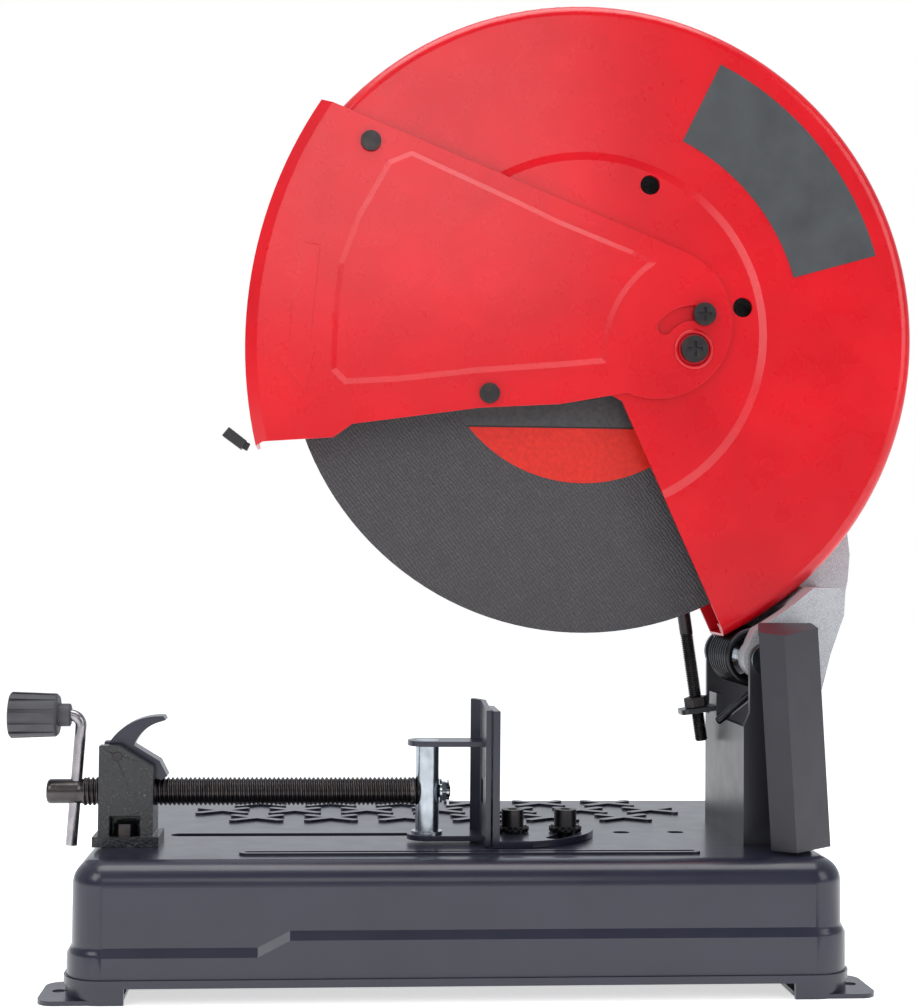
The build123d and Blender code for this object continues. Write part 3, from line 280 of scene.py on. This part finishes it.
def make_steel(name, colour, roughness, streak=(1, 1, 1), stain=0.0, stain_colour=(0.25, 0.16, 0.08)):
    """Bare or plated steel: fine streaks in the gloss, clouded colour and faint stains."""
    steel = Surface(name, colour, roughness, metallic=1.0)
    lines = steel.noise(0.5 * MM, 3, steel.mapped(scale=streak))
    dark = [c * 0.72 for c in colour]
    tone = steel.mixed(steel.clouds(7 * MM, 5), colour, dark)
    if stain:
        spots = steel.span(steel.noise(4 * MM, 6), 0.55, 0.75, 0, stain)
        tone = steel.mixed(spots, tone, stain_colour)
    steel.coloured(tone)
    steel.roughened(steel.span(lines, 0.25, 0.75, roughness * 0.85, min(roughness * 1.25, 1)))
    steel.bumped(lines, 0.006 * MM)
    return steel.material


def make_casting():
    """Black enamel on a coarse sand casting, with worn pale specks."""
    cast = Surface("cast_black", (0.02, 0.021, 0.024), 0.34, coat=0.3)
    grains = cast.noise(1.5 * MM, 3)
    pits = cast.cells(1.9 * MM)
    worn = cast.span(grains, 0.62, 0.72, 0, 0.5)
    cast.coloured(cast.mixed(worn, (0.018, 0.019, 0.022), (0.22, 0.23, 0.25)))
    cast.roughened(cast.span(pits, 0.1, 0.7, 0.26, 0.5))
    cast.bumped(grains, 0.9 * MM)
    cast.bumped(pits, 0.35 * MM)
    return cast.material


def make_plastic(name, colour, roughness, grain=0.35):
    """Moulded plastic with a spark-eroded grain."""
    plastic = Surface(name, colour, roughness)
    dark = [c * 0.85 for c in colour]
    pale = [c * 1.25 for c in colour]
    plastic.coloured(plastic.mixed(plastic.clouds(12 * MM, 4), dark, pale))
    plastic.roughened(plastic.clouds(3 * MM, 4, roughness * 0.85, roughness * 1.15))
    plastic.bumped(plastic.noise(grain * MM, 2), 0.04 * MM)
    return plastic.material


def make_disc():
    """Resin-bonded abrasive: glass mesh pressed in on two diagonals, dark patches and pale grit."""
    disc = Surface("disc_resin", (0.07, 0.066, 0.07), 0.66)
    grit = disc.noise(0.8 * MM, 4)
    patches = disc.noise(9 * MM, 3)
    rows = disc.waves(1.9 * MM, disc.mapped(turn=(0, 38, 0)), 5.0)
    columns = disc.waves(2.9 * MM, disc.mapped(turn=(0, -55, 0)), 7.0)
    weave = disc.math("ADD", disc.math("MULTIPLY", rows, 0.7), disc.math("MULTIPLY", columns, 0.3))
    tone = disc.mixed(disc.span(weave, 0.1, 0.9), (0.046, 0.042, 0.047), (0.088, 0.083, 0.089))
    tone = disc.mixed(disc.span(patches, 0.35, 0.65, 0, 0.35), tone, (0.050, 0.047, 0.052))
    disc.coloured(disc.mixed(disc.span(grit, 0.60, 0.78, 0, 0.4), tone, (0.16, 0.155, 0.165)))
    disc.roughened(disc.span(grit, 0.3, 0.7, 0.5, 0.8))
    disc.bumped(weave, 0.30 * MM)
    disc.bumped(grit, 0.20 * MM)
    return disc.material


def make_label():
    """Printed disc label: red above and below a ruled dark band across its middle, no lettering."""
    label = Surface("disc_label", (0.6, 0.05, 0.02), 0.45, coat=0.15)
    low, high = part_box("disc_label")
    middle = (low.z + high.z) / 2
    band_edge = 55.2 * MM
    rule_width = 1.0 * MM
    height = label.add("SeparateXYZ", Vector=label.object_place).outputs["Z"]
    away = label.math("ABSOLUTE", label.math("SUBTRACT", height, middle))
    band = label.math("LESS_THAN", away, band_edge)
    rule = label.math("MULTIPLY", label.math("GREATER_THAN", away, band_edge - rule_width), band)
    fibres = label.clouds(2.2 * MM, 5)
    red = label.mixed(fibres, (0.64, 0.010, 0.004), (0.78, 0.018, 0.006))
    dark = label.mixed(fibres, (0.045, 0.042, 0.045), (0.075, 0.070, 0.075))
    label.coloured(label.mixed(rule, label.mixed(band, red, dark), (0.01, 0.01, 0.01)))
    label.bumped(label.noise(1.2 * MM, 4), 0.15 * MM)
    return label.material


def make_panel():
    """Dark film on the guard, left blank, with a clouded colour and gloss."""
    film = Surface("panel_film", (0.06, 0.065, 0.07), 0.38, coat=0.4, coat_roughness=0.2)
    film.coloured(film.mixed(film.clouds(25 * MM, 3), (0.050, 0.054, 0.060), (0.072, 0.078, 0.085)))
    film.roughened(film.clouds(4 * MM, 4, 0.32, 0.46))
    film.bumped(film.noise(0.8 * MM, 2), 0.012 * MM)
    return film.material


def make_windings():
    """Stacked steel plates: fine lines across the motor's axis."""
    plates = Surface("laminations", (0.3, 0.28, 0.25), 0.5, metallic=0.7)
    leaves = plates.waves(1.0 * MM, plates.mapped(turn=(0, 0, 90)))
    plates.coloured(plates.mixed(leaves, (0.16, 0.14, 0.12), (0.40, 0.38, 0.34)))
    plates.roughened(plates.clouds(3 * MM, 4, 0.4, 0.65))
    plates.bumped(leaves, 0.2 * MM)
    return plates.material


def make_materials():
    """Every material by name."""
    return {
        "red": make_paint("red_paint", (0.68, 0.0015, 0.010), 0.28, 0.22, 0.016 * MM, dust=0.3),
        "black": make_paint("black_paint", (0.017, 0.018, 0.036), 0.30, 0.25, 0.012 * MM),
        "post": make_paint("post_paint", (0.024, 0.024, 0.031), 0.38, 0.15, 0.015 * MM),
        "cover": make_paint("cover_paint", (0.027, 0.025, 0.035), 0.50, 0.1, 0.015 * MM),
        "silver": make_silver_paint(),
        "zinc": make_steel("zinc_plate", (0.50, 0.55, 0.60), 0.20, (1, 1, 0.05), 0.12, (0.45, 0.38, 0.28)),
        "oxide": make_steel("black_oxide", (0.075, 0.070, 0.074), 0.36, stain=0.2),
        "screw_oxide": make_steel("screw_oxide", (0.10, 0.092, 0.095), 0.30, stain=0.25),
        "bright": make_steel("bright_steel", (0.42, 0.40, 0.42), 0.26, (1, 1, 0.06)),
        "spring": make_steel("spring_steel", (0.045, 0.045, 0.050), 0.30),
        "cast": make_casting(),
        "grey": make_plastic("grey_plastic", (0.062, 0.062, 0.070), 0.55),
        "plastic": make_plastic("black_plastic", (0.020, 0.020, 0.022), 0.45),
        "disc": make_disc(),
        "label": make_label(),
        "panel": make_panel(),
        "bronze": make_steel("bronze", (0.55, 0.38, 0.16), 0.4),
        "rubber": make_plastic("gland_rubber", (0.018, 0.018, 0.018), 0.8, 0.6),
        "windings": make_windings(),
    }


FINISHES = {
    "red": "fixed_guard guard_back_plate moving_guard",
    "black": "base_pan fence jaw_bracket release_lever",
    "post": "rear_post",
    "cover": "post_cover",
    "silver": "head_casting",
    "zinc": "jaw_pin nut_washer castle_nut split_pin post_bolts pivot_nut pivot_shaft",
    "oxide": "stop_bolt stop_nut fence_bolts fence_washers disc_bolt guard_rivets guard_pivot_screw "
             "guard_stop_screw handle_screws outer_flange inner_flange lever_pin vise_block_bolts",
    "screw_oxide": "vise_screw",
    "bright": "crank_rod spindle spindle_gear armature_shaft spindle_bearings motor_bearings",
    "spring": "torsion_spring",
    "cast": "vise_block",
    "grey": "motor_housing crank_knob",
    "plastic": "motor_cap handle_near handle_far trigger cooling_fan guard_tab brush_caps",
    "disc": "abrasive_disc",
    "label": "disc_label",
    "panel": "guard_panel",
    "bronze": "pivot_bushes",
    "rubber": "cord_gland",
    "windings": "stator armature_core",
}
EDGE_WIDTHS = {  # in millimetres
    "base_pan": 0.5, "rear_post": 0.7, "post_cover": 0.7, "fence": 0.6, "jaw_bracket": 0.6,
    "vise_block": 0.5, "moving_guard": 0.7, "fixed_guard": 0.5, "head_casting": 1.4, "motor_housing": 0.8,
    "motor_cap": 0.8, "handle_near": 1.5, "handle_far": 1.5, "trigger": 1.2, "fence_bolts": 0.4,
    "crank_knob": 0.4, "post_bolts": 0.4, "vise_block_bolts": 0.5, "castle_nut": 0.4, "stop_nut": 0.4,
    "release_lever": 1.0, "guard_tab": 0.4, "jaw_pin": 0.4, "pivot_nut": 0.5, "guard_pivot_screw": 0.4,
    "guard_stop_screw": 0.4, "guard_rivets": 0.6, "abrasive_disc": 0.3, "outer_flange": 0.4,
}


WELD_DISTANCE = 0.002 * MM
SHARP_ANGLE = radians(32)


def finish_edges(piece, width):
    """Round a piece's sharp edges by this width and shade it smooth across the flats."""
    weld = piece.modifiers.new("weld", "WELD")
    weld.merge_threshold = WELD_DISTANCE
    bevel = piece.modifiers.new("rounded", "BEVEL")
    bevel.limit_method = "ANGLE"
    bevel.angle_limit = SHARP_ANGLE
    bevel.width = width
    bevel.segments = 2
    bevel.use_clamp_overlap = True
    even = piece.modifiers.new("even", "WEIGHTED_NORMAL")
    even.keep_sharp = True


def dress_nodes(materials):
    """Give every CAD node its finish and its rounded edges."""
    for finish, names in FINISHES.items():
        for name in names.split():
            piece = nodes[name]
            if not piece.material_slots:
                piece.data.materials.append(materials[finish])
            for slot in piece.material_slots:
                slot.material = materials[finish]
    for name, width in EDGE_WIDTHS.items():
        finish_edges(nodes[name], width * MM)


# ---- pieces made here ----
def add_piece(name, points, faces, material, body):
    """New smooth mesh piece that rides on a body."""
    mesh = bpy.data.meshes.new(name)
    mesh.from_pydata(points, [], faces)
    mesh.validate()
    mesh.update()
    for face in mesh.polygons:
        face.use_smooth = True
    mesh.materials.append(material)
    piece = bpy.data.objects.new(name, mesh)
    bpy.context.scene.collection.objects.link(piece)
    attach(piece, body)
    return piece


def lathe(profile, start, way, sides=48, shape=None):
    """Points and faces of a closed turned form: profile gives (distance along way, radius) pairs.

    shape, when given, turns (distance, radius, angle) into the radius there, for threads and flats.
    """
    way = Vector(way).normalized()
    across = way.orthogonal().normalized()
    other = way.cross(across)
    points, faces = [Vector(start) + way * profile[0][0]], []
    for along, radius in profile:
        for i in range(sides):
            angle = tau * i / sides
            r = shape(along, radius, angle) if shape else radius
            out = across * cos(angle) + other * sin(angle)
            points.append(Vector(start) + way * along + out * r)
    points.append(Vector(start) + way * profile[-1][0])
    last = len(points) - 1
    for i in range(sides):
        j = (i + 1) % sides
        faces.append((0, 1 + j, 1 + i))
        for row in range(len(profile) - 1):
            a, b = 1 + row * sides, 1 + (row + 1) * sides
            faces.append((a + i, a + j, b + j, b + i))
        tail = 1 + (len(profile) - 1) * sides
        faces.append((last, tail + i, tail + j))
    return points, faces


def thread_shape(pitch, depth, start, end, runout):
    """Radius rule for a rounded V thread between start and end that fades out over runout."""
    def shape(along, radius, angle):
        fade = min(max((along - start) / runout, 0), max((end - along) / runout, 0), 1)
        turn = (along / pitch - angle / tau) % 1
        ridge = abs(2 * turn - 1)
        return radius - depth * fade * (1 - min(ridge * 1.25, 1) ** 1.2)
    return shape


def steps(start, end, count):
    """Evenly spaced values from start to end."""
    return [start + (end - start) * i / count for i in range(count + 1)]


def make_vise_screw(materials):
    """Vise screw with its full thread, plain crank end and thin neck. Lengths run from the crank end."""
    low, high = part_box("vise_screw")
    radius = (high.z - low.z) / 2
    middle = (high.z + low.z) / 2
    y = (low.y + high.y) / 2
    length = high.x - low.x
    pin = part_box("jaw_pin")
    shoulder_to_pin = 6.9 * MM
    shoulder = (pin[0].x + pin[1].x) / 2 - shoulder_to_pin - low.x
    neck = 3.6 * MM
    plain = 6.9 * MM
    pitch = 2.5 * MM
    depth = 1.35 * MM
    rows_per_turn = 8
    thread_start = 20.5 * MM
    thread_end = shoulder - 1 * MM
    rows = [(0, plain - 1.4 * MM), (0.5 * MM, plain - 0.6 * MM), (1.4 * MM, plain)]
    rows += [(a, plain) for a in steps(3 * MM, thread_start - 0.6 * MM, 6)]
    turns = (thread_end - thread_start) / pitch
    rows += [(a, radius) for a in steps(thread_start, thread_end, int(turns * rows_per_turn))[1:]]
    rows += [(shoulder, radius - 0.8 * MM), (shoulder, neck)]
    rows += [(length - 0.6 * MM, neck), (length, neck - 0.6 * MM)]
    shape = thread_shape(pitch, depth, thread_start, thread_end, runout=3 * MM)
    points, faces = lathe(rows, (low.x, y, middle), (1, 0, 0), 40, shape)
    piece = add_piece("vise_screw_threaded", points, faces, materials["screw_oxide"], "screw")
    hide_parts("vise_screw")


def make_stop_bolt(materials):
    """Depth stop: threaded foot, plain upper shank and hexagon head. Lengths run from the foot."""
    way = Vector(joint_named("depth_stop_adjust")["axis"]).normalized()
    low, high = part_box("stop_bolt")
    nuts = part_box("stop_nut")
    radius = 4.0 * MM
    flat = 6.0 * MM
    corner_reach = 6.6 * MM
    head_radius = 6.9 * MM
    head_height = 5.0 * MM
    centre = (nuts[0] + nuts[1]) / 2
    foot_distance = (low.z + radius * abs(way.x) - centre.z) / way.z
    head_top = (high.z - corner_reach * abs(way.x) - centre.z) / way.z
    start = centre + way * foot_distance
    length = head_top - foot_distance
    head = length - head_height
    pitch = 1.25 * MM
    depth = 0.72 * MM
    rows_per_turn = 7
    thread_end = 67 * MM
    rows = [(0, radius - 1.0 * MM), (0.8 * MM, radius - 0.2 * MM)]
    rows += [(a, radius) for a in steps(1.0 * MM, thread_end, int(thread_end / pitch * rows_per_turn))]
    rows += [(a, radius) for a in steps(thread_end + 1 * MM, head - 0.1 * MM, 4)]
    rows += [(head, flat), (head + 0.01 * MM, head_radius)]
    rows += [(length - 0.8 * MM, head_radius), (length, head_radius - 1.0 * MM)]
    thread = thread_shape(pitch, depth, 0, thread_end, runout=1.5 * MM)

    def shape(along, r, angle):
        """Thread on the shank and six flats on the head."""
        if along < head:
            return thread(along, r, angle)
        hexagon = flat / cos((angle + pi / 6) % (pi / 3) - pi / 6)
        return min(hexagon, r)

    points, faces = lathe(rows, start, way, 36, shape)
    piece = add_piece("stop_bolt_threaded", points, faces, materials["oxide"], "depth_stop")
    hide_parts("stop_bolt")


def make_pivot_dish(materials):
    """Low pressed ring in the lower guard round its pivot screw."""
    pivot = joint_named("guard_raise")["pos_m"]
    x, z = pivot[0], pivot[2]
    panel_depth = 1.2 * MM
    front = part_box("moving_guard")[0].y + panel_depth
    # radius from the pivot and rise from the panel, in millimetres, across the ring
    profile = [(11.9, 0.0), (11.7, 0.25), (11.2, 0.62), (10.6, 0.75), (10.0, 0.62), (9.5, 0.25), (9.3, 0.0)]
    points, faces = [], []
    sides = 64
    for i in range(sides):
        angle = tau * i / sides
        for radius, rise in profile:
            points.append((x + radius * MM * cos(angle), front - rise * MM, z + radius * MM * sin(angle)))
    count = len(profile)
    for i in range(sides):
        a, b = i * count, (i + 1) % sides * count
        for k in range(count):
            n = (k + 1) % count
            faces.append((a + k, b + k, b + n, a + n))
    add_piece("pivot_dish", points, faces, materials["red"], "lower_guard")


def make_spring_leg(materials):
    """Straight near leg of the torsion spring, which leaves the coil below the pivot."""
    pivot = joint_named("head_lower")["pos_m"]
    wire = 2.4 * MM
    coil_radius = 15.4 * MM
    root_overlap = 0.5 * MM
    leg_end = 41 * MM
    angle = radians(218.7)
    way = Vector((cos(angle), 0, sin(angle)))
    side = Vector((-sin(angle), 0, cos(angle)))
    coil_centre = Vector((pivot[0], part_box("torsion_spring")[0].y + wire, pivot[2]))
    start = coil_centre + side * coil_radius - way * root_overlap
    rows = [(0, wire)] + [(a, wire) for a in steps(1 * MM, leg_end, 8)]
    rows += [(leg_end + 0.8 * MM, wire * 0.85), (leg_end + 1.3 * MM, wire * 0.5)]
    points, faces = lathe(rows, start, way, 24)
    add_piece("spring_leg", points, faces, materials["spring"], "root")


def make_floor():
    """White matte floor that glows a little, so that it meets the surround without a line."""
    glow = 0.62
    reach = 6.0
    floor_paint = Surface("floor", (0.98, 0.98, 0.98), 0.95)
    floor_paint.shader.inputs["Emission Color"].default_value = (1, 1, 1, 1)
    floor_paint.shader.inputs["Emission Strength"].default_value = glow
    floor_paint.roughened(floor_paint.clouds(40 * MM, 3, 0.85, 0.95))
    mesh = bpy.data.meshes.new("floor")
    corners = [(-reach, -reach, 0), (reach, -reach, 0), (reach, reach, 0), (-reach, reach, 0)]
    mesh.from_pydata(corners, [], [(0, 1, 2, 3)])
    mesh.materials.append(floor_paint.material)
    floor = bpy.data.objects.new("floor", mesh)
    bpy.context.scene.collection.objects.link(floor)


place_camera()
light_studio()
materials = make_materials()
dress_nodes(materials)
make_vise_screw(materials)
make_stop_bolt(materials)
make_pivot_dish(materials)
make_spring_leg(materials)
make_floor()
